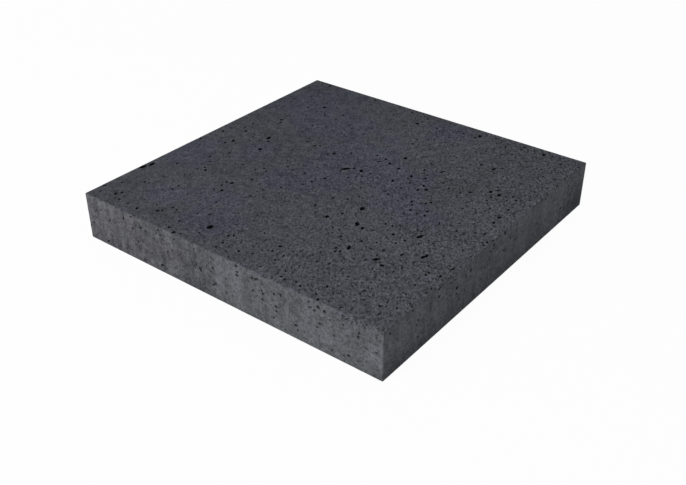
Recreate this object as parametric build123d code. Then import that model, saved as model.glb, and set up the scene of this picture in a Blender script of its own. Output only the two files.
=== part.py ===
from build123d import *
import os

# Square concrete paving slab, cast in one piece and lying flat with its wearing face up.
# The origin is at the middle of the bedding face: +X runs along the length, +Y along the width and +Z up.

# Driving dimensions, in millimetres
slab_length = 500.0
slab_width = 500.0
slab_thickness = 70.0
mould_radius = 1.2  # eased arris that the mould leaves round the wearing face and down the four upright corners
foot_radius = 0.6  # edge of the bedding face, struck off level and rubbed once to take the burr away


def cast_block():
    """The plain block as it fills the mould, standing on the XY plane."""
    standing = (Align.CENTER, Align.CENTER, Align.MIN)
    return Box(slab_length, slab_width, slab_thickness, align=standing)


def ease_mould_arrises(block):
    """Round the wearing face's four edges and the four upright corners, which the mould shapes together."""
    wearing_face_edges = block.faces().sort_by(Axis.Z)[-1].edges()
    upright_edges = block.edges().filter_by(Axis.Z)
    return fillet(wearing_face_edges + upright_edges, mould_radius)


def ease_foot(block):
    """Break the sharp edge all round the bedding face."""
    bedding_face_edges = block.faces().sort_by(Axis.Z)[0].edges()
    return fillet(bedding_face_edges, foot_radius)


def paving_slab():
    """The finished slab: one solid, with an eased wearing face and a nearly square foot."""
    return ease_foot(ease_mould_arrises(cast_block()))


os.makedirs("parts", exist_ok=True)
export_step(paving_slab(), "parts/paving_slab.step")
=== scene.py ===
import math

import bmesh
import bpy
import numpy as np
from mathutils import Matrix, Vector, noise


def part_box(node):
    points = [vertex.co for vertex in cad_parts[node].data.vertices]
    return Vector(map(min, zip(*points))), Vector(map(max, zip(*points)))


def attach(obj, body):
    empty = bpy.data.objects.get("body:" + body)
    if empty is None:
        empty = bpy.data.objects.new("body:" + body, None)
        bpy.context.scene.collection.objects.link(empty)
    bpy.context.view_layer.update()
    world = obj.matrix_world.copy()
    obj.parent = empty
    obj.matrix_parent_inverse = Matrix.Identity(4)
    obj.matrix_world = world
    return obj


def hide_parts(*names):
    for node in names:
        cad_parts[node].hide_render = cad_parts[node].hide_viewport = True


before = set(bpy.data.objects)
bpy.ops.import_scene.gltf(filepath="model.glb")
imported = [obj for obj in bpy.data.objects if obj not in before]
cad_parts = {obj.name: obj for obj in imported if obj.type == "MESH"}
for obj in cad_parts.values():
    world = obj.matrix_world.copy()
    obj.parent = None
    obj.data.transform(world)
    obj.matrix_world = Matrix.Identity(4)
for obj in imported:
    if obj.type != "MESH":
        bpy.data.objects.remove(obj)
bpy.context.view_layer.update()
mm = 0.001
tiny = 0.00001
print("frame loaded, nodes:", sorted(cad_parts))


# Helpers for working as in edit mode

def soloActive(piece):
    bpy.ops.object.select_all(action="DESELECT")
    piece.select_set(True)
    bpy.context.view_layer.objects.active = piece


def selectEdges(piece, test):
    # leaves edit mode on, with only the edges that pass the test selected
    bpy.ops.object.mode_set(mode="EDIT")
    bpy.ops.mesh.select_mode(type="EDGE")
    bpy.ops.mesh.select_all(action="DESELECT")
    cage = bmesh.from_edit_mesh(piece.data)
    for edge in cage.edges:
        edge.select_set(test(edge.verts[0].co, edge.verts[1].co))
    bmesh.update_edit_mesh(piece.data)


def applyModifier(piece, kind, settings):
    soloActive(piece)
    modifier = piece.modifiers.new(kind.lower(), kind)
    for name, value in settings.items():
        setattr(modifier, name, value)
    bpy.ops.object.modifier_apply(modifier=modifier.name)


def meshPoints(mesh):
    flat = np.empty(len(mesh.vertices) * 3)
    mesh.vertices.foreach_get("co", flat)
    return flat.reshape(-1, 3)


def rise(values, start, end):
    # smooth step from 0 at start to 1 at end
    t = np.clip((values - start) / (end - start), 0, 1)
    return t * t * (3 - 2 * t)


# The cast block: eased arrises, then cut into cells so that its skin can be uneven

slab = {
    "node": "paving_slab",
    "arris": 1.2 * mm,  # round the wearing face and down the upright corners
    "arrisSteps": 3,
    "foot": 0.6 * mm,  # round the bedding face
    "footSteps": 2,
    "cell": 8.2 * mm,
    "skinWave": 0.06 * mm,  # deepest hollow of the skin
    "skinWaveLength": 45 * mm,
    "arrisWear": 0.2 * mm,  # deepest crumbling of the arris
    "arrisWearLength": 9 * mm,
    "arrisWearReach": 4 * mm,
    "smoothAngle": 38,  # edges that turn by more than this stay sharp (degrees)
}

low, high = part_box(slab["node"])
size = high - low
middle = (low + high) / 2
half = size / 2


def cutIntoCells(piece):
    for axis in range(3):
        count = round(size[axis] / slab["cell"])
        normal = Vector((0, 0, 0))
        normal[axis] = 1
        for step in range(1, count):
            place = low.lerp(high, step / count)
            bpy.ops.mesh.select_all(action="SELECT")
            bpy.ops.mesh.bisect(plane_co=place, plane_no=normal)


def castBlock():
    bpy.ops.object.select_all(action="DESELECT")
    bpy.ops.mesh.primitive_cube_add(size=1, location=middle, scale=size)
    block = bpy.context.active_object
    block.name = "pavingSlab"
    bpy.ops.object.transform_apply(location=True, rotation=True, scale=True)
    selectEdges(block, lambda a, b: max(a.z, b.z) > high.z - tiny)  # wearing face and upright corners
    bpy.ops.mesh.bevel(offset=slab["arris"], segments=slab["arrisSteps"], affect="EDGES")
    selectEdges(block, lambda a, b: max(a.z, b.z) < low.z + tiny)
    bpy.ops.mesh.bevel(offset=slab["foot"], segments=slab["footSteps"], affect="EDGES")
    cutIntoCells(block)
    bpy.ops.object.mode_set(mode="OBJECT")
    return block


def arrisWeights(points):
    # 1 on the arrises, 0 from arrisWearReach inwards
    gaps = np.column_stack([
        half.x - abs(points[:, 0]),
        half.y - abs(points[:, 1]),
        high.z - points[:, 2],
        points[:, 2] - low.z,
    ])
    second = np.sort(gaps, axis=1)[:, 1]
    return 1 - rise(second, slab["arris"] / 2, slab["arrisWearReach"])


def roughenSkin(block):
    group = block.vertex_groups.new(name="arris")
    for index, weight in enumerate(arrisWeights(meshPoints(block.data))):
        group.add([index], weight, "REPLACE")
    cloud = bpy.data.textures.new("skinWave", "CLOUDS")
    cloud.noise_scale = slab["skinWaveLength"]
    crumble = bpy.data.textures.new("arrisWear", "CLOUDS")
    crumble.noise_scale = slab["arrisWearLength"]
    crumble.noise_depth = 1
    inward = {"mid_level": 1, "direction": "NORMAL", "texture_coords": "LOCAL"}
    applyModifier(block, "DISPLACE", inward | {"texture": cloud, "strength": slab["skinWave"]})
    alongArris = {"texture": crumble, "strength": slab["arrisWear"], "vertex_group": group.name}
    applyModifier(block, "DISPLACE", inward | alongArris)
    block.vertex_groups.clear()


pavingSlab = castBlock()
roughenSkin(pavingSlab)
print("block cast:", len(pavingSlab.data.polygons), "faces")


# Air pores, cut out of the skin

pores = {
    "seed": 11,
    # the blowholes that give this slab its look: place along and across, length, width (mm), turn (degrees)
    "top": [
        # far left
        (-168, 168, 5.8, 5.4, 0), (-125, 163, 4.2, 3.6, 0), (-126, 145, 3.8, 3.2, 0),
        (-154, 151, 3.9, 3.2, 0), (-148, 145, 4, 3.2, 0), (-189, 152, 5, 3, -50), (-212, 188, 3.6, 3, 0),
        (-120, 113, 4.2, 3.4, 0), (-140, 105, 4.4, 3.7, 0), (-192, 90, 6.1, 4.7, -45),
        (-187, 82, 5.4, 4.6, -45), (-96, 138, 3.4, 3, 0), (-85, 132, 3.8, 3, 0), (-121, 242, 4.4, 3.5, 0),
        (-231, 241, 3.8, 3, 0), (-216, 242.4, 4.4, 3.4, 0), (-139, 78, 4, 3, -20),
        # far middle
        (-15, 209, 6.7, 5.3, -20), (-27, 193, 4, 3.2, 0), (-35, 202, 3, 2.8, 0),
        (-45, 238, 4.6, 3.6, -40), (-12, 233, 4.8, 3.8, 0), (18, 214, 3.8, 3.3, 0), (25, 241, 4, 3, 0),
        (50, 226, 3.4, 2.8, 0), (60, 223, 4.2, 3.2, 0), (84, 230, 7.6, 5.8, -50), (81, 222, 4.8, 3.8, 0),
        (36, 101.4, 6, 5.2, -30), (18, 146, 4.2, 3.5, 0), (49, 146, 3.4, 2.8, 0), (15, 163, 4, 3, 0),
        (29, 173, 3.2, 2.8, 0), (-62, 152, 3.2, 2.8, 0), (-60, 128, 3.8, 3, 0), (-29, 138, 4, 2.6, -50),
        (-1, 83, 4.2, 3.2, 0), (15, 82, 4.8, 3.8, 0), (78, 88, 5.4, 3.4, -60), (12, 70, 6.8, 3.1, 42),
        (9, 107, 6, 2.4, 75),
        # far right
        (133, 222, 5.2, 3.8, -60), (108, 238, 4.2, 3, 0), (156, 239, 4.2, 3.4, 0),
        (155, 230, 3.2, 2.8, 0), (190, 234, 6.6, 5, -60), (203, 237, 4.2, 3.4, 0), (223, 222, 4, 3.3, 0),
        (231, 220, 3.2, 2.6, 0), (247, 230, 3.8, 3, 0), (134, 151.4, 4.5, 3.7, 0),
        (154.6, 150.4, 6.2, 4.6, 82), (163, 160, 3.4, 3, 0), (121, 142, 3.9, 3.2, 0), (180, 200, 4, 3, 0),
        (117, 192, 3.4, 2.8, 0), (140, 198, 3.8, 3.2, 0), (240, 147, 4, 3.4, 0), (101, 98, 9, 3.8, 55),
        (139, 96, 4, 3, -60), (184, 90.4, 6.4, 5.6, -40), (198, 89.4, 6, 4.6, -60),
        (190, 100, 4.2, 3.5, 0), (186, 107, 3.6, 3, 0), (174, 99, 3, 2.6, 0), (223, 91, 4.4, 3.5, 0),
        (215, 97, 4.4, 3.2, -60), (213, 83, 3.4, 2.8, 0), (150, 125, 3.2, 2.8, 0),
        (220, 174, 3.2, 2.8, 0), (173, 236, 3.4, 2.6, 0), (232, 127, 3.8, 3, 0),
        # middle left
        (-164.6, 29.4, 8.2, 6.2, -50), (-158, 20.6, 6, 4, 40), (-150, -6.6, 7, 6.2, -40),
        (-201, -9.6, 6, 4.2, -50), (-206, -22, 4, 3.4, 0), (-246, -34, 4.6, 3.6, 0),
        (-209, 26, 5.5, 4, -50), (-236, 4, 6, 3.4, -50), (-234, 20, 4.2, 2.8, -50), (-219, 35, 3.6, 3, 0),
        (-218, 52, 3.8, 3.2, 0), (-131, 64, 3.6, 3.2, 0), (-110, 55, 4.2, 3.5, 0),
        (-93, 52, 4.6, 3.8, 20), (-87, 57, 4.4, 3.3, -60), (-116, 66, 3.4, 3, 0), (-95, -8, 3.4, 2.6, 0),
        (-82, -23, 4, 3, 0), (-177, -43, 3.6, 3.4, 0), (-192, -69, 5.2, 3.4, -50), (-181, -80, 3.8, 3, 0),
        (-105, -47, 3.6, 3, 0), (-97, -53, 4, 3, -50), (-113, -58, 3.2, 2.8, 0), (-137, -57, 4, 3.4, 0),
        (-97, -82, 4.2, 3.4, 0), (-133, 8, 8, 2.5, -62), (-138, 22, 5, 1.6, -55),
        # middle
        (-12.4, 23, 11.4, 6.4, 42), (-4, 31, 5, 4.2, 0), (9, 30.4, 8, 5, -45), (24, 32, 4.8, 3.6, -60),
        (39, 28, 3.7, 2.8, 0), (61, 34, 6, 3.8, -50), (27, 74, 6, 4.2, -55), (47, 69, 5.8, 4.9, -30),
        (74, 61, 6, 4.8, -50), (74, 53, 4.2, 3.2, 0), (83, 44, 4.2, 2.8, -40), (81, 25, 4.6, 3.4, 0),
        (-55, 50, 5.5, 4.2, -60), (-61, 42, 5.4, 3.4, -50), (-36, 66, 4.2, 3.4, 0),
        (-36, 48, 4.2, 2.4, -55), (-18, -18, 4.8, 4.4, 20), (6, 4, 5, 3.4, -65), (19, 19, 3.8, 3.2, 30),
        (13, 14, 4.6, 2.8, -60), (-14, 13, 3.6, 2.8, 0), (70, 4, 4, 3.2, 0), (78, 0, 4, 3.2, 0),
        (20, -9, 3.3, 2.7, 0), (-27, -36, 4.5, 3.3, 0), (-50, -24, 5.4, 3.3, -50), (-70, -27, 4.2, 3, 0),
        (73, -52.6, 8.2, 6.4, -56), (25, -54, 4.8, 3.6, 30), (43, -45, 3.8, 2.9, 0),
        (60, -79, 4.6, 3.4, 0), (49, -73, 4.6, 2.4, 80), (-49, -75, 3.8, 3.3, 0), (-12, -61, 3.1, 2.5, 0),
        (18, -82, 3.8, 2.8, 0), (-31, -50, 3, 2.6, 0), (50, -29, 4.4, 2.8, -50),
        # middle right
        (103, 49, 5.4, 4, -60), (111.5, 41.4, 5.5, 4.7, 0), (103, 34.4, 5.4, 4, -60), (93, 68, 4.3, 3, 0),
        (90, 78, 3.6, 2.8, 0), (120, 72, 4.4, 3.4, 0), (134, 64, 4.6, 3, -70), (153, 63, 4.4, 3.2, -60),
        (163, 72, 4.2, 3.5, 0), (192, 78, 4, 3, 0), (192, 67, 3.4, 2.8, 0), (197, 60, 4, 2.6, -65),
        (207, 72, 4.6, 2.4, -70), (213, 66, 4, 2.8, -65), (227, 63, 5, 3.8, -80), (227.2, 38.4, 6, 5, 30),
        (229, 43.4, 5, 2.3, 72), (228.5, 22, 6.2, 3.1, -65), (206, 51, 3.2, 2.6, 0),
        (205, 42, 3.8, 2.4, -60), (177.5, 29, 4.6, 3, -75), (136, 16, 4.8, 3.8, -45),
        (132, 10, 5, 3.2, -70), (114, 3, 5.6, 3.6, -60), (119, -4, 4.6, 3, -60), (145, -7, 4, 3.4, 0),
        (148, -17, 5, 3.8, -30), (125, -16.5, 5, 3.9, -60), (137, -19, 5.2, 2.7, -55),
        (123, -28, 3.8, 2.8, -50), (134, -37, 3.8, 2.4, -60), (173.5, -22, 7.2, 2.6, -55),
        (233, -9, 5, 3.6, -65), (245.5, -24, 4.2, 3.8, 0), (201, -24, 4, 3.2, 0),
        (206, -28, 4.6, 2.4, -75), (245, -32, 3.2, 2.8, 0), (232, -32, 3.3, 2.6, 0),
        (120, -65, 4.2, 3.2, 0), (130, -64, 4.4, 2.8, 0), (137, -57, 3.2, 2.3, 0),
        (142, -65, 4.4, 2.6, -55), (142, -80, 4.4, 4, 0), (160.5, -52, 4, 3, -50),
        (167, -52, 3.2, 2.6, 0), (172, -64, 9, 5.4, 72), (164, -70, 3, 2.5, 0), (186, -65, 3, 2.4, 0),
        (231, -58, 5, 2.6, -60), (180, -79, 3.8, 2.4, -50), (162, -83, 4.2, 3.3, 0),
        (119, -51, 10, 1.6, -55), (194, -6, 3.8, 2.6, 0), (222, -14, 4, 2.5, -50),
        # near left
        (-241, -136.4, 10.4, 6.2, 98), (-245.3, -150, 8.4, 8, 92), (-214, -113, 4.2, 3.4, 0),
        (-168, -102, 6.4, 3.4, -25), (-174, -97, 3.9, 3.3, 0), (-181, -130, 4.4, 3, -75),
        (-111, -107.6, 6, 4.6, -40), (-119, -109.5, 4.4, 3.4, 0), (-118.5, -120, 4, 3.4, 10),
        (-108, -130.4, 4.8, 4.2, 0), (-118, -136, 3, 2.5, 0), (-109, -138, 2.8, 2.3, 0),
        (-201, -151, 3.8, 3.4, 0), (-164, -158, 4.4, 3.4, -30), (-163, -170, 4.4, 3, -30),
        (-173.5, -179, 3.4, 3, 0), (-202, -177, 4, 3.3, 0), (-209, -179, 4.2, 3.2, -40),
        (-125, -153, 3.2, 2.6, 0), (-91, -159, 5, 2.8, -45), (-177, -192, 2.8, 2.3, 0),
        (-149, -212, 3.2, 2.9, 0), (-127, -203, 4.2, 3.7, 0), (-131.5, -218, 4.3, 2.8, -30),
        (-137, -222, 5.2, 4.7, 10), (-118, -205, 3.6, 3, 0), (-120, -223, 3, 2.3, 0),
        (-163, -234, 4.8, 3.6, -30), (-211.5, -218, 4.4, 3.9, 0), (-215.4, -225.6, 5.4, 3.6, -40),
        (-237, -233, 4, 3.2, 0), (-199.5, -232.5, 4, 3.4, 0), (-207, -234, 3.2, 2.6, 0),
        (-182.5, -233, 3.6, 2.5, 0), (-210, -203, 2.8, 2.3, 0), (-233, -199, 3.6, 3, 0),
        (-246, -219, 5.4, 3.6, -20), (-94, -241, 4.8, 3.8, -40), (-81, -246, 5, 4.4, 10),
        (-95, -222, 4.4, 2.8, -35), (-90, -194, 3.6, 3, 0),
        # near middle
        (-52.4, -208.4, 8.2, 7.4, 78), (49, -96.6, 5.8, 5, -50), (19, -85, 5.8, 2.8, -45),
        (-65, -95, 3.6, 2.9, 0), (-68, -103, 3.4, 3, 0), (-67, -118, 4.2, 3, -40),
        (-79, -86, 4.6, 2.8, -60), (22, -118, 5, 2.5, -50), (46, -133, 3.1, 2.4, 0),
        (62, -126, 3, 2.4, 0), (79, -124, 3, 2.5, 0), (71, -113, 3.4, 2.8, 0), (-25, -150, 3.1, 2.6, 0),
        (1, -147, 3.2, 2.5, 0), (-4, -155, 3, 2.4, 0), (-21, -162, 9, 2, -50), (12, -177, 4.6, 2.6, -45),
        (-31, -184, 3.5, 2.7, 0), (-76, -187, 4.6, 3, -45), (-25, -202, 2.8, 2.4, 0),
        (-15, -205, 7, 2.6, -45), (-20, -210, 3.8, 3, 0), (-17, -215, 3.6, 2.4, 0),
        (48, -188.4, 4.8, 3.7, 25), (47, -202, 3.4, 2.8, 0), (57, -204, 5, 2.4, 80),
        (65, -202, 5, 3.2, 100), (63, -215, 3.4, 2.8, 0), (32, -221, 4.2, 2.6, -35),
        (15, -228, 5.2, 3.4, -40), (22, -209, 4.2, 2.4, -40), (24, -189, 3.8, 2.5, -45),
        (-14, -226, 4, 2.8, 0), (-2, -228, 4.4, 2.4, -40), (2, -237, 4, 2.4, -30),
        (-14, -238, 6, 2.8, -45), (13, -244, 3.1, 2.3, 0), (20, -242, 2.8, 2.3, 0),
        (27, -240, 2.8, 2.2, 0), (-71, -243, 3.4, 2.8, 0), (-61, -241, 3, 2.2, 0), (-33, -238, 3, 2.1, 0),
        (-67, -213, 3.6, 2.5, 0), (-54, -227, 3.8, 2.4, -20), (62, -225, 3.4, 2.1, 0),
        (75, -190, 3.6, 2, -50), (68, -187, 4.2, 2.4, -50), (40, -165, 6, 1.8, -40),
        (60, -158, 3.6, 2, -50), (84, -235, 2.8, 2.3, 0),
        # near right
        (91, -87.6, 8, 6.6, -40), (102.6, -92, 6.2, 4.8, -50), (116.5, -88.5, 4.8, 2.8, 80),
        (120, -117, 4.3, 3.4, 0), (117, -139, 8.6, 4.8, -58), (158.6, -139, 8.6, 6, 40),
        (172.2, -145.4, 5.8, 4.8, 38), (202.8, -95, 7.2, 4, 105), (201, -100, 8, 4.8, 68),
        (178, -111.7, 6.5, 3.5, 88), (243, -100, 7, 3.2, 85), (243, -109.5, 3.1, 2.1, 0),
        (225, -130.5, 4.6, 3.4, -65), (225, -124, 3.6, 3.1, 0), (240, -123, 4.8, 3.3, -60),
        (216.6, -112, 2.8, 2.5, 0), (198.5, -116, 3.3, 2.6, 0), (185, -123, 3.4, 2.1, -50),
        (154, -117, 4.4, 3.4, -30), (139.5, -124, 3.6, 3.1, 0), (132.7, -124, 3.8, 2.4, 0),
        (156.5, -95, 4.6, 3, -70), (139.5, -91, 3.6, 2.4, 0), (137, -108, 4.8, 2.7, -45),
        (93, -124, 4, 3, 0), (98, -130, 3.2, 2.8, 0), (154, -131, 4.6, 2.6, -55),
        (113, -151, 4.4, 3.4, 0), (104, -149, 5, 3.2, 80), (108.6, -156, 3.8, 3, 0),
        (118, -157, 2.8, 2.4, 0), (127.6, -162, 4.6, 2.8, -40), (137, -155, 3.3, 2.5, 0),
        (149, -148, 5, 3.3, 80), (190.5, -148, 5, 2.6, -65), (187, -157, 3.8, 2.4, 0),
        (167, -158, 5, 2.6, -55), (180, -168, 4.7, 2.1, -65), (194.5, -136, 3.8, 2.4, 0),
        (222, -141, 3.3, 2.5, 0), (235, -140, 2.9, 2.4, 0), (226, -155, 4, 2.8, -30),
        (218, -156.5, 3.4, 2.1, 0), (245, -160.5, 4, 2.6, 0), (245, -150, 5.2, 2.5, -60),
        (228.5, -177, 3, 2.3, 0), (139, -181, 5.4, 2.6, 80), (145, -187, 5, 2.4, -50),
        (120, -181, 5.4, 2.5, -65), (105, -187, 3.2, 2.8, 0), (164.5, -188, 4.4, 2.4, 85),
        (194, -184, 6.5, 2.2, -60), (170, -202, 3.2, 2.5, 0), (186.6, -200, 3.4, 2.7, 0),
        (199, -201, 3, 2.5, 0), (186, -208, 4, 2.7, -30), (220, -202, 6.2, 2.3, -65),
        (235, -205, 5, 2.7, -60), (218, -213, 4, 3.2, 0), (224, -210, 4, 2.7, 80), (189, -224, 3, 2.3, 0),
        (226, -226, 3.4, 2.7, 0), (147.5, -219.8, 5, 3.2, -58), (142, -198, 4, 2.4, -50),
        (128, -200, 4.4, 2.4, 85), (122.5, -215, 3.2, 2.5, 0), (90, -215.5, 5, 2.6, -55),
        (162, -227, 3, 2.5, 0), (173.5, -225, 3.6, 2.2, -50), (92.4, -237.4, 4.2, 3.4, 10),
        (99, -238.4, 4, 3.3, 10), (122, -238.4, 4.6, 3.5, -40), (137, -236.5, 4.4, 2.2, -45),
        (146, -239, 3, 2.4, 0), (155, -246.4, 4.4, 3.4, 0), (185, -242, 2.8, 2.4, 0),
        (217, -242, 3.4, 1.8, -40), (136, -171, 4.4, 2.2, -70), (96, -168, 5.2, 2.7, -55),
    ],
    "front": [
        (-106, 65, 3.6, 3.2, 0), (-131, 54, 4.4, 3, 15), (-140, 56, 5.2, 2.6, 20),
        (-150, 55, 2.6, 2.2, 0), (-111, 58, 4, 2.4, 75), (-103, 58.5, 3.2, 2.4, 60),
        (-129, 63, 3.2, 2.6, 0), (-173.5, 58, 6.6, 2.7, 80), (-158, 66, 5.4, 3.1, 25),
        (-220, 53.5, 4, 2.6, 30), (-231, 49, 3.6, 2.6, 20), (-157, 49, 4.2, 3, 25),
        (-149, 31, 3.6, 2.6, 70), (-155, 24.5, 3.6, 2.9, 0), (-106.5, 10.5, 4.8, 3.4, 40),
        (-140, 5.5, 4, 2.4, 20), (-92, 37.5, 3.2, 2.7, 0), (-83, 43, 4, 2.6, 30), (-103, 47, 3, 2.5, 0),
        (-247, 20, 3.2, 2.6, 0), (-240, 27, 4, 3, 30), (-213.4, 6.5, 5.2, 3.2, 35), (-193, 6, 3.2, 2, 30),
        (-175, 9, 3.8, 2, 35), (-164, 12, 3.8, 2.2, 30), (-124, 22, 3.7, 3.1, 0),
        (-204, 43, 3.6, 2.8, 60), (-33, 35, 6, 4, -60), (-39.5, 40, 3, 2.8, 0), (-78, 62, 4.4, 2.4, 40),
        (-11, 59, 3, 2.4, 0), (-10.5, 46, 4.4, 2.8, 40), (-14.7, 39, 4.2, 2.4, 45),
        (-7, 24, 4.6, 3.1, 45), (-11.5, 20.5, 4.2, 2.6, 30), (11, 39, 3.8, 2.2, 45),
        (31.5, 53, 4, 3.7, 0), (32, 58, 5, 2.8, 30), (31.5, 66.5, 4.2, 3.3, 0), (57, 59.7, 3.6, 2.8, 20),
        (61.6, 60, 3.8, 3, 20), (65, 61.2, 4, 3.2, 20), (71.5, 57, 4.4, 2.2, 25), (71, 47.5, 3.4, 2.9, 0),
        (73, 43.8, 3.6, 3.2, 0), (72, 35, 3.9, 3, 20), (57, 41.4, 4.6, 2.8, 0), (62.5, 36, 4.6, 1.6, 30),
        (9, 7.5, 3.2, 2, 20), (-20, 7.5, 3.6, 2.4, 20), (-77, 18, 3, 1.9, 30), (101.5, 54, 4.6, 3, 80),
        (91, 51, 3.4, 3.2, 0), (144, 64, 4, 2.8, 20), (158, 62.5, 5, 3.8, 20), (167, 60.4, 4.2, 3.3, 40),
        (146, 57, 5, 2.5, 25), (152.5, 55, 4.2, 3.2, 45), (160, 40, 4, 3, 50), (156.5, 33, 4, 2.7, 45),
        (175, 52, 4.6, 2.9, 50), (181, 33, 4.6, 2.4, 45), (93.6, 33.7, 3.5, 3.2, 0),
        (93.6, 27.4, 3.3, 3.1, 0), (123.6, 20, 4.9, 3.2, 20), (126.5, 14, 3, 2.6, 0),
        (177.5, 9.3, 4, 2.6, 35), (202, 13.3, 4.4, 3.4, 30), (218, 13.3, 2.8, 2.4, 0),
        (215.5, 47.5, 3.4, 2.8, 0), (216, 52.6, 4.2, 3, 60), (212.7, 65, 2.8, 2.5, 0),
        (199.6, 65, 3.8, 3, 30), (192, 65, 2.4, 1.9, 0), (194, 54, 3, 2.8, 0), (240, 58, 3.2, 2.8, 0),
        (227, 36, 5, 2.4, 0), (240.4, 37, 4.2, 2.6, -35), (89, 15.6, 4, 2.6, 30),
    ],
    "right": [
        (-238.5, 62, 4.4, 2.8, -40), (-194, 66.5, 4.6, 2.8, -30), (-228.5, 48.5, 3.4, 2, -50),
        (-181.5, 46, 3.4, 2.6, 0), (-185.5, 41, 4.3, 2.8, -50), (-181.5, 22, 4.4, 2.7, -40),
        (-175.5, 25, 3.4, 2.2, -45), (-160.5, 26, 4.8, 2.6, 80), (-139.5, 54.7, 4.2, 3.6, 0),
        (-139.5, 48, 4, 2.2, 90), (-139, 66.4, 4.8, 3.5, 0), (-156, 54, 4.4, 2, -45),
        (-114, 60, 3.6, 2.8, 0), (-105, 59.8, 6.4, 2.2, -25), (-98.4, 44, 5.6, 3.2, -40),
        (-114.5, 42, 4.2, 2.2, -25), (-98.5, 35.5, 3.4, 2.8, 0), (-83, 61.5, 3.6, 2.4, 80),
        (-13.6, 62.6, 4.2, 3.6, 0), (-11.8, 56.6, 4.6, 2.8, -30), (-20.4, 56.4, 4, 2.6, -30),
        (-68, 53.6, 5.2, 3.4, 105), (-79, 51.3, 4.4, 2.4, 80), (13.6, 66.8, 4.8, 2.8, -25),
        (31, 51.3, 6, 2.8, 110), (16, 40, 5.8, 2.9, -25), (123, 66.4, 5, 2.2, -25),
        (195.6, 55.3, 4, 2.6, -30), (178.4, 26, 4.8, 3.7, -35), (230, 59.8, 3.6, 2.2, -30),
        (205, 37, 4, 2.6, 0),
    ],
    "lean": (-72, 1.12),  # a round blowhole of the wearing face leans this way, and is this much longer
    "drawn": (0.88, 1.16),  # the others of the wearing face are drawn out by this along X and Y
    # the rest are scattered: how many, and their least and greatest width (mm)
    "scatter": {
        "top": [(90, 2.6, 3.2), (2000, 1.6, 2.7)],
        "front": [(140, 1.4, 2.4)],
        "right": [(70, 1.4, 2.4)],
        "back": [(45, 2.4, 4.0), (110, 1.4, 2.2)],
        "left": [(45, 2.4, 4.0), (110, 1.4, 2.2)],
    },
    "lie": (-55, 30),  # how the scattered ones of the wearing face lie, and how much that varies (degrees)
    "oval": (1.1, 1.6),  # how much longer than wide the scattered ones are
    "footClear": 6 * mm,  # the sides have no scattered ones this near the foot
    "topClear": 4 * mm,  # nor this near the wearing face
    "crowding": 16,  # how quickly the crowding changes, turns a metre
    "crowd": (0.5, 0.9),  # how crowded they are, and how much that varies
    "crowdRight": 0.65,  # how much more crowded the wearing face is towards +X
    "crowdUp": (0.3, 0.9),  # how crowded the sides are at the foot, and how much more at the top
    "apart": 0.4 * mm,
    "margin": 1.05,  # reach of an even pore, in half lengths
    "growth": {"top": 1.12, "front": 1.22, "right": 1.22},  # blowholes are this much larger than listed
    # by the least width in mm: divisions of the ball that cuts a pore, how far its shape strays,
    # and its depth as a share of its width
    "detail": ((4.4, 3), (2.9, 2), (0.0, 1)),
    "stray": ((3.3, 0.27), (0.0, 0.22)),
    "depth": ((3.9, (0.80, 1.10)), (3.1, (0.40, 0.60)), (2.5, (0.25, 0.40)), (0.0, (0.13, 0.25))),
    "raised": 0.12,  # how far the ball is raised, as a share of its depth
    # the waves that make the ball uneven: how many, pace of the slowest, and how far they may be shifted
    "waves": 3,
    "wavePace": 1.2,
    "waveShift": 6,
}

# each face: a point on its middle line, on top or at the foot, then its two directions
faces = {
    "top": (Vector((0, 0, high.z)), Vector((1, 0, 0)), Vector((0, 1, 0))),
    "front": (Vector((0, low.y, 0)), Vector((1, 0, 0)), Vector((0, 0, 1))),
    "right": (Vector((high.x, 0, 0)), Vector((0, 1, 0)), Vector((0, 0, 1))),
    "back": (Vector((0, high.y, 0)), Vector((-1, 0, 0)), Vector((0, 0, 1))),
    "left": (Vector((low.x, 0, 0)), Vector((0, -1, 0)), Vector((0, 0, 1))),
}


def drawsFor(face, *numbers):
    # random numbers of their own for one group or pore, so that a change to one leaves the others as they are
    return np.random.default_rng([pores["seed"], list(faces).index(face), *numbers])


def placeOn(face, along, across):
    origin, u, v = faces[face]
    return origin + u * along + v * across


def bySize(rows, width):
    return next(value for least, value in rows if width >= least * mm)


class PoreField:
    # keeps every pore of one cut with its reach, so that no two of them run into each other
    def __init__(self):
        self.marks = []
        self.centres = np.empty((0, 3))
        self.reaches = np.empty(0)

    def fits(self, mark):
        if not self.marks:
            return True
        gaps = np.linalg.norm(self.centres - self.centre(mark), axis=1) - self.reaches - self.reach(mark)
        return gaps.min() > pores["apart"]

    def add(self, mark):
        if not self.fits(mark):
            return False
        self.marks.append(mark)
        self.centres = np.vstack([self.centres, self.centre(mark)])
        self.reaches = np.append(self.reaches, self.reach(mark))
        return True

    def centre(self, mark):
        return np.array(placeOn(*mark[:3]))

    def reach(self, mark):
        length, width = mark[3:5]
        return length / 2 * (pores["margin"] + bySize(pores["stray"], width))


def crowdAt(face, along, across):
    # the chance that a scattered pore stays where it falls
    usual, varies = pores["crowd"]
    crowd = usual + varies * noise.noise(placeOn(face, along, across) * pores["crowding"])
    if face == "top":
        return crowd * (1 + pores["crowdRight"] * along / half.x)
    atFoot, more = pores["crowdUp"]
    return crowd * (atFoot + more * across / high.z)  # the air rises in the mould


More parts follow.
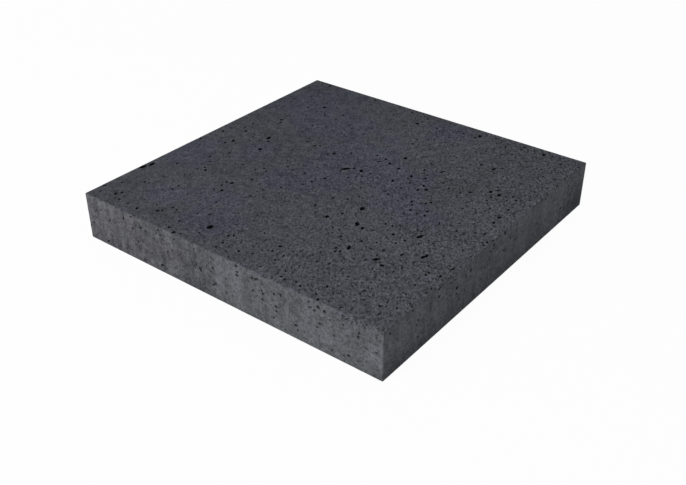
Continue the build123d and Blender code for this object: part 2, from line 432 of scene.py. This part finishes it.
def scatterOn(face, group, count, least, greatest):
    rng = drawsFor(face, group)
    acrossRange = (-half.y, half.y) if face == "top" else (pores["footClear"], high.z - pores["topClear"])
    added = 0
    while added < count:
        along = rng.uniform(-half.x, half.x)
        across = rng.uniform(*acrossRange)
        width = greatest - (greatest - least) * math.sqrt(rng.uniform())
        length = width * rng.uniform(*pores["oval"])
        turn = math.radians(rng.normal(*pores["lie"])) if face == "top" else rng.uniform(0, math.pi)
        mark = (face, along, across, length * mm, width * mm, turn)
        stays = rng.uniform() < crowdAt(face, along, across)
        if stays and secondCut.fits(mark) and firstCut.add(mark):
            added += 1


def blobTemplate(divisions):
    bpy.ops.object.select_all(action="DESELECT")
    bpy.ops.mesh.primitive_ico_sphere_add(subdivisions=divisions, radius=1)
    ball = bpy.context.active_object
    points = meshPoints(ball.data)
    corners = np.array([face.vertices[:] for face in ball.data.polygons])
    bpy.data.objects.remove(ball)
    flats = np.linalg.norm(points[corners].mean(axis=1), axis=1).mean()  # its flat faces lie inside the ball
    return points * 2 / (1 + flats), corners


def blobPoints(template, mark):
    # an irregular squashed ball, raised a little so that its rim stands steep and nothing overhangs
    face, along, across, length, width, turn = mark
    origin, u, v = faces[face]
    rng = drawsFor(face, *(round((value + size.x) / tiny) for value in (along, across)))
    depth = width * rng.uniform(*bySize(pores["depth"], width))
    stray = bySize(pores["stray"], width)
    swell = np.ones(len(template))
    for wave in range(pores["waves"]):
        direction = rng.normal(size=3)
        turns = template @ direction * (pores["wavePace"] + wave) + rng.uniform(0, pores["waveShift"])
        swell += stray / pores["waves"] * np.sin(turns)
    local = template * swell[:, None] * np.array([length / 2, width / 2, depth])
    spun = local @ np.array(Matrix.Rotation(turn, 3, "Z").transposed())
    spun[:, 2] += depth * pores["raised"]
    axes = np.array([u, v, u.cross(v)])
    return spun @ axes + np.array(placeOn(face, along, across))


def poreCutters(field):
    templates = {divisions: blobTemplate(divisions) for least, divisions in pores["detail"]}
    points, corners, slots, count = [], [], [], 0
    for mark in field.marks:
        shape, shapeCorners = templates[bySize(pores["detail"], mark[4])]
        points.append(blobPoints(shape, mark))
        corners.append(shapeCorners + count)
        slots.append(np.full(len(shapeCorners), 1 if mark[0] == "top" else 2, dtype=np.int32))
        count += len(shape)
    mesh = bpy.data.meshes.new("poreCutters")
    mesh.from_pydata(np.vstack(points).tolist(), [], np.vstack(corners).tolist())
    for marker in poreMarks:
        mesh.materials.append(marker)
    mesh.polygons.foreach_set("material_index", np.concatenate(slots))
    cutters = bpy.data.objects.new("poreCutters", mesh)
    bpy.context.collection.objects.link(cutters)
    return cutters


def cutPores(piece, field):
    cutters = poreCutters(field)
    applyModifier(piece, "BOOLEAN", {"operation": "DIFFERENCE", "object": cutters, "solver": "MANIFOLD"})
    bpy.data.objects.remove(cutters)


def drawnOut(length, width, turn):
    # length, width and turn of an oval once it is drawn out
    spin = np.array(Matrix.Rotation(math.radians(turn), 2))
    ways, lengths = np.linalg.svd(np.diag(pores["drawn"]) @ spin @ np.diag([length, width]))[:2]
    return *lengths.tolist(), math.degrees(math.atan2(ways[1, 0], ways[0, 0]))


def listedMarks(face, growth):
    lean, longer = pores["lean"]
    for along, across, length, width, turn in pores[face]:
        if face == "top" and turn == 0:
            length, turn = length * longer, lean
        elif face == "top":
            length, width, turn = drawnOut(length, width, turn)
        yield face, along * mm, across * mm, length * growth * mm, width * growth * mm, math.radians(turn)


firstCut = PoreField()
secondCut = PoreField()  # for blowholes that run into one of the first cut
for faceName, growth in pores["growth"].items():
    for mark in listedMarks(faceName, growth):
        if not firstCut.add(mark) and not secondCut.add(mark):
            print("left out blowhole", mark)
for faceName, groups in pores["scatter"].items():
    for group, (count, least, greatest) in enumerate(groups):
        scatterOn(faceName, group, count, least, greatest)
print("pores placed:", len(firstCut.marks), "and", len(secondCut.marks))

# slots that tell the skin from the walls of the pores, on the wearing face and on the sides
poreMarks = [bpy.data.materials.new(name) for name in ("skin", "topHollow", "sideHollow")]
for marker in poreMarks:
    pavingSlab.data.materials.append(marker)
cutPores(pavingSlab, firstCut)
cutPores(pavingSlab, secondCut)
triangles = sum(len(face.vertices) - 2 for face in pavingSlab.data.polygons)
print("pores cut:", len(pavingSlab.data.vertices), "points,", triangles, "triangles")


# What the material and the export need from the mesh: depth of the pores, and a flat map of every face

bakeMap = {
    "name": "OFBake",
    "gap": 0.006,  # between the faces on the map
    "topSide": 0.7625,
}


def faceValues(mesh, name, kind, width=1):
    values = np.empty(len(mesh.polygons) * width, dtype=kind)
    mesh.polygons.foreach_get(name, values)
    return values.reshape(-1, width) if width > 1 else values


def planeGaps(points):
    # depth below each side of the box: left, front, bed, right, back, top
    return np.hstack([points - np.array(low), np.array(high) - points])


def markPoreDepth(piece):
    # above 0 in the pores of the wearing face, below 0 in those of the sides
    mesh = piece.data
    points = meshPoints(mesh)
    slots = np.zeros((len(points), len(poreMarks)), dtype=bool)
    for face in mesh.polygons:
        slots[list(face.vertices), face.material_index] = True
    inside = ~slots[:, 0]
    deep = np.delete(planeGaps(points), 2, axis=1).min(axis=1)
    depth = np.where(inside, np.where(slots[:, 2], -deep, deep), 0)
    mesh.attributes.new("poreDepth", "FLOAT", "POINT").data.foreach_set("value", depth.astype(np.float32))
    print("hollow points:", int(inside.sum()))


def faceSides(mesh):
    # which side of the box each face belongs to: the walls of a pore go with the side it is cut from
    normals = faceValues(mesh, "normal", np.float32, 3)
    centres = faceValues(mesh, "center", np.float32, 3)
    bySkin = np.hstack([-normals, normals]).argmax(axis=1)
    cut = planeGaps(centres)
    cut[:, 2] = size.x  # the bed has no pores
    return np.where(faceValues(mesh, "material_index", np.int32) > 0, cut.argmin(axis=1), bySkin)


def layBakeMap(piece):
    mesh = piece.data
    gap, side = bakeMap["gap"], bakeMap["topSide"]
    scale = side / size.x
    strip = scale * size.z
    beside = gap * 2 + side
    beyond = beside + strip + gap
    small = (1 - gap - beside) / size.x
    corners = np.empty(len(mesh.loops), dtype=np.int32)
    mesh.loops.foreach_get("vertex_index", corners)
    x, y, z = (meshPoints(mesh)[corners] - np.array(low)).T
    flatX, flatY = size.x - x, size.y - y
    layouts = [
        (beyond + z * scale, gap + y * scale),  # left
        (gap + x * scale, beside + z * scale),  # front
        (beside + x * small, beside + flatY * small),  # bed
        (beside + z * scale, gap + flatY * scale),  # right
        (gap + flatX * scale, beyond + z * scale),  # back
        (gap + x * scale, gap + y * scale),  # top
    ]
    sides = np.repeat(faceSides(mesh), faceValues(mesh, "loop_total", np.int32))
    uv = np.array(layouts).transpose(0, 2, 1)[sides, np.arange(len(sides))]
    layer = mesh.uv_layers.new(name=bakeMap["name"])
    layer.data.foreach_set("uv", uv.astype(np.float32).ravel())


def dropPoreMarks(piece):
    mesh = piece.data
    mesh.polygons.foreach_set("material_index", np.zeros(len(mesh.polygons), dtype=np.int32))
    mesh.materials.clear()
    for marker in poreMarks:
        bpy.data.materials.remove(marker)


markPoreDepth(pavingSlab)
layBakeMap(pavingSlab)
dropPoreMarks(pavingSlab)


# Shader sums written as Python

class Wire:
    # one shader socket, with the node tree that it is in
    def __init__(self, tree, socket=None):
        self.tree = tree
        self.socket = socket

    def node(self, kind, settings=None, sockets=None, out=0):
        made = self.tree.nodes.new(kind)
        for name, value in (settings or {}).items():
            setattr(made, name, value)
        for name, value in (sockets or {}).items():
            plug(made.inputs[name], value)
        return Wire(self.tree, made.outputs[out]) if made.outputs else None

    def out(self, name):
        # another output of the same node
        return Wire(self.tree, self.socket.node.outputs[name])

    def math(self, operation, *values):
        return self.node("ShaderNodeMath", {"operation": operation}, dict(enumerate(values)))

    def __add__(self, other):
        return self.math("ADD", self, other)

    def __sub__(self, other):
        return self.math("SUBTRACT", self, other)

    def __rsub__(self, other):
        return self.math("SUBTRACT", other, self)

    def __mul__(self, other):
        return self.math("MULTIPLY", self, other)

    def __truediv__(self, other):
        return self.math("DIVIDE", self, other)

    __radd__ = __add__
    __rmul__ = __mul__

    def step(self, start, end):
        # smooth step: 0 at start, 1 at end
        limits = {"Value": self, "From Min": start, "From Max": end}
        return self.node("ShaderNodeMapRange", {"interpolation_type": "SMOOTHSTEP"}, limits)

    def blend(self, colourA, colourB):
        # this value mixes two colours
        settings = {"data_type": "RGBA", "clamp_factor": True}
        return self.node("ShaderNodeMix", settings, {0: self, 6: colourA, 7: colourB}, out=2)

    def tint(self, colour):
        # this value times a colour
        return self.node("ShaderNodeVectorMath", {"operation": "SCALE"}, {"Vector": colour, "Scale": self})


def plug(target, value):
    if isinstance(value, Wire):
        target.id_data.links.new(value.socket, target)
    elif isinstance(value, tuple) and len(value) == 3 and target.type == "RGBA":
        target.default_value = (*value, 1)
    else:
        target.default_value = value


# Concrete

concrete = {
    # the wearing face drifts between two hues,
    # and the front and left sides go from the first of theirs to the second towards +X
    "topColours": ((0.0695, 0.0717, 0.0841), (0.0668, 0.0709, 0.0944)),
    "sideColours": ((0.1070, 0.1073, 0.1172), (0.1052, 0.1076, 0.1196)),
    # painted shade: the right and back sides, turned from the key lamp, get a bluer colour
    "shadedColour": (0.1026, 0.1058, 0.1204),  # right and back sides
    "sideEdge": (-1.0, 0.3),  # where the second hue of the sides starts and is full, in half lengths
    "sideWander": 2.0,  # how far that strays
    "sideSwitch": 2 * mm,  # half the width over which the shaded sides' values set in
    # where the wearing face is bluer: middle of the place and its reach
    "blueSpots": [
        ((-0.185, 0.165, 0.07), 0.115),
        ((-0.095, 0.125, 0.07), 0.090),
        ((-0.020, 0.085, 0.07), 0.080),
        ((0.035, 0.045, 0.07), 0.080),
        ((0.095, 0.000, 0.07), 0.060),
        ((-0.030, -0.020, 0.07), 0.065),
        ((-0.065, -0.060, 0.07), 0.045),
        ((0.135, -0.025, 0.07), 0.045),
        ((-0.150, -0.015, 0.07), 0.050),
        ((-0.222, -0.070, 0.07), 0.055),
        ((-0.095, -0.145, 0.07), 0.050),
        ((-0.058, -0.192, 0.07), 0.050),
        ((-0.165, -0.190, 0.07), 0.040),
        ((0.040, 0.210, 0.07), 0.055),
    ],
    "blueEdge": (-0.1, 1.0),  # how much of that starts the second hue, and makes it full
    "blueWander": {"drift": 2.4, "mottle": 1.6},  # how ragged those places are
    # clouds of tone: turns a metre, detail, and whether they lie along the grain or stand upright
    "clouds": {
        "drift": (15, 2, "plain"),
        "broad": (9, 3, "plain"),
        "mottle": (55, 3, "plain"),
        "patch": (115, 2, "plain"),
        "sand": (300, 3, "lying"),
        "dust": (800, 1, "lying"),
        "streak": (62, 2, "upright"),
    },
    "cloudRoughness": 0.6,
    "grainTurn": -55,  # degrees
    "grainStretch": 1.5,
    "uprightPace": 0.12,  # how fast the upright clouds change upwards, as a share of their pace along
    "bedShift": (0.41, 0.37, 0.33),  # the bedding face takes its pattern from this far away (m)
    "topTones": {"broad": 0.65, "mottle": 1.00, "patch": 1.20},
    "topGrain": {"sand": 2.65, "dust": 0.9},
    "sideTones": {"broad": 0.65, "mottle": 0.70, "patch": 0.90, "sand": 1.65, "dust": 0.5},
    "streaks": (1.20, 0.80),  # upright ones, on the front and left sides, and on the right and back ones
    "streaksLeft": 0.7,  # how much stronger those of the front are towards -X
    "frontEdge": (0.9, 1.0),  # where that sets in on the left side, in half widths from the middle
    "grainRight": 0.42,  # how much stronger the grain and the pinholes are towards +X
    "grainPatches": 1.6,  # how much that strength varies by patches
    "paleRight": 0.11,  # how much paler the wearing face is towards +X
    "paleNear": 0.050,  # and towards -Y
    "farShade": 0.06,  # how much darker it is along its far edge
    "farEdge": (0.6, 1.0),  # where that starts and is full, in half widths from the middle
    # pinholes too small and too many to cut: cells a metre, greatest radius in cells, brightness left in them
    "pits": [(170, 0.46, 0.66), (270, 0.44, 0.55), (560, 0.48, 0.58)],
    "pitEdge": (-0.05, 0.16),  # how far the rim of a pinhole fades, outwards and inwards, in cells
    # pale grains of sand: cells a metre, greatest radius in cells, added brightness
    "specks": (400, 0.42, 0.75),
    "sidePits": 0.70,  # how much of the pinholes the sides show
    # painted shade: the pores are painted darker with depth, over their own darker colour
    "poreShade": 0.05,  # brightness left at the bottom of a pore on the wearing face
    "sidePoreShade": 0.48,
    "poreFull": 0.60 * mm,  # depth from which a pore is that dark
    "toneEdge": (-2.3, 0.8),  # the two tones meet between these distances over the arris, in mm
    "creep": {"mottle": 12, "sand": 5},  # how far they creep over it, in mm
    "lip": ((0.208, -0.25, 0.07), (0.040, 0.040), 8),  # where the dark one hangs lower: place, reach, mm
    # painted highlight along the arris of the wearing face
    "arrisHighlight": 0.07,  # how much paler the arris of the wearing face is
    "arrisHighlightEdge": (0.3, 2.2),  # where that fades, in mm from the arris
    # painted shade near the floor, stronger on the right and back sides
    "footShade": (0.97, 0.90),  # brightness left at the foot, on the two pairs of sides as above
    "footHeight": 32 * mm,
    "footWander": 40 * mm,  # how far that height strays
    "spotEdge": (0.2, 1.0),  # where a spot starts to fade and is gone, as shares of its reach
    # the spots, stains and painted shade alike, are ragged by this
    "spotWander": 1.2,  # how ragged the stains are
    # stains and painted shade on the sides: place, reach along and up, darkness, which is below 0 for a pale
    # one
    "stainsAndShade": [
        ((-0.235, -0.25, 0.000), (0.060, 0.040), 0.18),
        ((-0.205, -0.25, 0.030), (0.008, 0.040), 0.20),
        ((-0.150, -0.25, 0.035), (0.014, 0.055), 0.32),
        ((-0.122, -0.25, 0.035), (0.036, 0.060), 0.30),
        ((-0.043, -0.25, 0.047), (0.009, 0.024), 0.30),
        ((-0.042, -0.25, 0.010), (0.026, 0.026), 0.14),
        # painted shade: darker towards the far end and the foot of the right side
        ((0.250, 0.230, 0.008), (0.085, 0.055), 0.34),
        ((0.250, -0.245, 0.000), (0.035, 0.035), 0.20),
        ((0.250, -0.020, 0.062), (0.085, 0.034), 0.14),
        ((-0.228, -0.25, 0.068), (0.040, 0.016), -0.16),
        ((0.175, -0.25, 0.008), (0.045, 0.034), -0.17),
        ((0.235, -0.25, 0.026), (0.034, 0.040), -0.18),
        ((0.080, -0.25, 0.022), (0.040, 0.030), -0.13),
        ((-0.075, -0.25, 0.006), (0.034, 0.030), -0.24),
        ((-0.128, -0.25, 0.004), (0.024, 0.018), 0.12),
        ((-0.198, -0.25, 0.050), (0.042, 0.022), 0.10),
        ((0.122, -0.25, 0.038), (0.026, 0.018), 0.14),
        ((0.250, 0.125, 0.046), (0.032, 0.024), -0.12),
        ((0.250, 0.028, 0.010), (0.032, 0.020), -0.12),
        ((0.250, -0.075, 0.030), (0.030, 0.024), 0.08),
        ((0.250, -0.225, 0.012), (0.040, 0.026), 0.08),
    ],
    "roughness": 0.88,
    "roughClouds": {"mottle": 0.12, "sand": 0.10},
    "specular": 0.12,
    "relief": 0.7 * mm,
    "reliefStrength": 0.5,
    "reliefClouds": {"sand": 0.8, "dust": 0.3},
}


def concreteMaterial():
    material = bpy.data.materials.new("castConcrete")
    material.use_nodes = True
    material.node_tree.nodes.clear()
    start = Wire(material.node_tree)
    place = start.node("ShaderNodeTexCoord").out("Object")
    along = start.node("ShaderNodeSeparateXYZ", sockets={0: place})
    across = along.out("Y")
    height = along.out("Z")
    rightward = along / half.x  # -1 at the left edge, 1 at the right one
    nearward = across / low.y
    # the bedding face takes its pattern from elsewhere,
    # clear of the rays that the clouds make round the origin
    bed = height.math("LESS_THAN", height, slab["foot"] / 2)
    moved = bed.tint(concrete["bedShift"])
    place = start.node("ShaderNodeVectorMath", {"operation": "ADD"}, {0: place, 1: moved})
    turn = (0, 0, math.radians(concrete["grainTurn"]))
    lying = {"Vector": place, "Rotation": turn, "Scale": (concrete["grainStretch"], 1, 1)}
    upright = {"Vector": place, "Scale": (1, 1, concrete["uprightPace"])}
    spots = {
        "plain": place,
        "lying": start.node("ShaderNodeMapping", {"vector_type": "TEXTURE"}, lying),
        "upright": start.node("ShaderNodeMapping", sockets=upright),
    }

    def cloud(scale, detail, lie):
        looks = {"Vector": spots[lie], "Scale": scale, "Detail": detail}
        looks["Roughness"] = concrete["cloudRoughness"]
        return start.node("ShaderNodeTexNoise", sockets=looks) - 0.5  # about 0

    clouds = {name: cloud(*row) for name, row in concrete["clouds"].items()}
    # 0 on the front, left and bedding sides, 1 on the right and back ones, which are painted as sides in
    # shade
    switch = concrete["sideSwitch"]
    shaded = (along + across).step(-switch, switch) * height.step(0.0, slab["foot"])

    def bySide(pair):
        return pair[0] + shaded * (pair[1] - pair[0])

    def toned(amounts, base):
        return sum((clouds[name] * amount for name, amount in amounts.items()), base)

    def pitted(scale, widest):
        # each cell of the pattern holds one pinhole of its own size
        cells = {"Vector": spots["lying"], "Scale": scale}
        gap = start.node("ShaderNodeTexVoronoi", {"feature": "F1"}, cells)
        chance = start.node("ShaderNodeSeparateColor", sockets={0: gap.out("Color")})
        return (chance * widest - gap).step(*concrete["pitEdge"])

    def spotted(centre, reach, ragged):
        # 1 in the middle of a soft ragged spot, 0 from its reach outwards
        alongReach, upReach = reach
        away = start.node("ShaderNodeVectorMath", {"operation": "SUBTRACT"}, {0: place, 1: centre})
        shares = {0: away, 1: (alongReach, alongReach, upReach)}
        away = start.node("ShaderNodeVectorMath", {"operation": "DIVIDE"}, shares)
        gap = start.node("ShaderNodeVectorMath", {"operation": "LENGTH"}, {0: away}).out("Value")
        return 1 - (gap + ragged).step(*concrete["spotEdge"])

    # distance over the arris in mm, below 0 down the side and above 0 in from the edge of the wearing face
    fromEnds = half.x - along.math("ABSOLUTE", along)
    fromSides = half.y - across.math("ABSOLUTE", across)
    inset = fromEnds.math("MINIMUM", fromEnds, fromSides)
    inset = inset.math("MINIMUM", inset, size.z / 2)  # so that the bedding face counts as a side
    over = (height - high.z + inset) / mm
    # painted highlight: the arris of the wearing face is painted paler
    alongArris = (1 - over.math("ABSOLUTE", over).step(*concrete["arrisHighlightEdge"])) * concrete["arrisHighlight"]
    ragged = clouds["patch"] * concrete["spotWander"]
    lipPlace, lipReach, lipDrop = concrete["lip"]
    over = over + spotted(lipPlace, lipReach, ragged) * lipDrop
    side = 1 - toned(concrete["creep"], over).step(*concrete["toneEdge"])

    grain = (1 + rightward * concrete["grainRight"]) * (1 + clouds["mottle"] * concrete["grainPatches"])
    farEdge = (0 - nearward).step(*concrete["farEdge"])
    pale = rightward * concrete["paleRight"] + nearward * concrete["paleNear"]
    pale = pale - farEdge * concrete["farShade"]
    topTone = toned(concrete["topTones"], 1 + pale)
    specks, widestSpeck, speckGain = concrete["specks"]
    topTone = topTone + (toned(concrete["topGrain"], 0) + pitted(specks, widestSpeck) * speckGain) * grain
    brightStreaks, shadedStreaks = concrete["streaks"]
    front = nearward.step(*concrete["frontEdge"])
    brightStreaks = brightStreaks * (1 - rightward * front * concrete["streaksLeft"])
    sideTone = toned(concrete["sideTones"], 1) + clouds["streak"] * bySide((brightStreaks, shadedStreaks))
    relief = toned(concrete["reliefClouds"], 0)
    for scale, widest, left in concrete["pits"]:
        pit = pitted(scale, widest)
        topTone = topTone * (1 - pit * (1 - left) * grain)
        sideTone = sideTone * (1 - pit * (1 - left) * concrete["sidePits"])
        relief = relief - pit * (1 - side * (1 - concrete["sidePits"]))
    # painted shade: the sides darken towards the floor
    foot = (height + clouds["mottle"] * concrete["footWander"]).step(0.0, concrete["footHeight"])
    footLeft = bySide(concrete["footShade"])
    sideTone = sideTone * (footLeft + (1 - footLeft) * foot)
    # stains, and painted shade at the far foot of the right side
    for centre, reach, dark in concrete["stainsAndShade"]:
        sideTone = sideTone * (1 - spotted(centre, reach, ragged) * dark)

    wander = toned(concrete["blueWander"], 0)
    blue = clouds["drift"]
    for centre, reach in concrete["blueSpots"]:
        blue = blue + spotted(centre, (reach, reach), wander)
    hue = blue.step(*concrete["blueEdge"])
    topSkin = topTone.tint(hue.blend(*concrete["topColours"]))
    cool = (rightward + clouds["drift"] * concrete["sideWander"]).step(*concrete["sideEdge"])
    sideHue = shaded.blend(cool.blend(*concrete["sideColours"]), concrete["shadedColour"])
    skin = side.blend(topSkin, sideTone.tint(sideHue))
    depth = start.node("ShaderNodeAttribute", {"attribute_name": "poreDepth"}).out("Fac")
    # painted shade in the pores, darker with depth
    topHollow = depth.step(0.0, concrete["poreFull"]) * (1 - concrete["poreShade"])
    sideHollow = (0 - depth).step(0.0, concrete["poreFull"]) * (1 - concrete["sidePoreShade"])
    colour = ((1 + alongArris) * (1 - topHollow - sideHollow)).tint(skin)

    bumps = {"Height": relief, "Strength": concrete["reliefStrength"], "Distance": concrete["relief"]}
    body = start.node("ShaderNodeBsdfPrincipled", sockets={
        "Base Color": colour,
        "Roughness": toned(concrete["roughClouds"], concrete["roughness"]),
        "Normal": start.node("ShaderNodeBump", sockets=bumps),
        "Specular IOR Level": concrete["specular"],
    })
    start.node("ShaderNodeOutputMaterial", sockets={"Surface": body})
    return material


pavingSlab.data.materials.append(concreteMaterial())
soloActive(pavingSlab)
bpy.ops.object.shade_smooth_by_angle(angle=math.radians(slab["smoothAngle"]))
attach(pavingSlab, "root")
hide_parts(slab["node"])
print("concrete on")


# Floor, world and lamps

studio = {
    "floorSize": 14,
    "floorColour": (0.84, 0.84, 0.84),
    "floorWhite": 0.965,  # share of plain white that the camera sees in the floor
    "skyStrength": 0.42,
    "keyPlace": (-1.3, -3.4, 2.5),
    "keySize": 1.8,
    "keyPower": 120,
}


def seenRay(start):
    # 1 for rays that show the backdrop itself, 0 for the light that falls on the slab
    rays = [start.node("ShaderNodeLightPath", out=name)
            for name in ("Is Camera Ray", "Is Glossy Ray", "Is Transmission Ray")]
    return rays[0].math("MAXIMUM", rays[0].math("MAXIMUM", rays[0], rays[1]), rays[2])


def makeFloor():
    bpy.ops.object.select_all(action="DESELECT")
    bpy.ops.mesh.primitive_plane_add(size=studio["floorSize"], location=(0, 0, low.z))
    floor = bpy.context.active_object
    floor.name = "floor"
    bpy.ops.object.transform_apply(location=True, rotation=True, scale=True)
    material = bpy.data.materials.new("paleFloor")
    material.use_nodes = True
    material.node_tree.nodes.clear()
    start = Wire(material.node_tree)
    matt = start.node("ShaderNodeBsdfDiffuse", sockets={"Color": studio["floorColour"]})
    white = start.node("ShaderNodeEmission", sockets={"Color": (1, 1, 1), "Strength": 1})
    factor = seenRay(start) * studio["floorWhite"]
    mixed = start.node("ShaderNodeMixShader", sockets={0: factor, 1: matt, 2: white})
    start.node("ShaderNodeOutputMaterial", sockets={"Surface": mixed})
    floor.data.materials.append(material)


def makeWorld():
    world = bpy.data.worlds.new("studio")
    bpy.context.scene.world = world
    world.use_nodes = True
    world.node_tree.nodes.clear()
    start = Wire(world.node_tree)
    strength = studio["skyStrength"] + seenRay(start) * (1 - studio["skyStrength"])
    sky = start.node("ShaderNodeBackground", sockets={"Color": (1, 1, 1), "Strength": strength})
    start.node("ShaderNodeOutputWorld", sockets={"Surface": sky})


def makeKey():
    lamp = bpy.data.lights.new("key", "AREA")
    lamp.shape = "SQUARE"
    lamp.size = studio["keySize"]
    lamp.energy = studio["keyPower"]
    key = bpy.data.objects.new("key", lamp)
    key.location = studio["keyPlace"]
    key.rotation_euler = (middle - Vector(studio["keyPlace"])).to_track_quat("-Z", "Y").to_euler()
    bpy.context.collection.objects.link(key)


makeFloor()
makeWorld()
makeKey()
print("studio set")


# Camera, as the photo was taken: azimuth and elevation in degrees, lens in pixels of the photo

camera = {
    "place": (0.69735, -0.89970, 0.68825),
    "azimuth": 37.781,
    "elevation": 32.548,
    "focalPixels": 923.7,
    "pictureWidth": 686,
    "sensorWidth": 36,
    "clipStart": 0.01,
}


def makeCamera():
    lens = bpy.data.cameras.new("camera")
    lens.sensor_width = camera["sensorWidth"]
    lens.lens = camera["focalPixels"] * camera["sensorWidth"] / camera["pictureWidth"]
    lens.clip_start = camera["clipStart"]
    view = bpy.data.objects.new("camera", lens)
    view.location = camera["place"]
    tilt = math.radians(90 - camera["elevation"])
    view.rotation_euler = (tilt, 0, math.radians(camera["azimuth"]))
    bpy.context.collection.objects.link(view)
    bpy.context.scene.camera = view


makeCamera()
bpy.context.scene.view_settings.view_transform = "Standard"
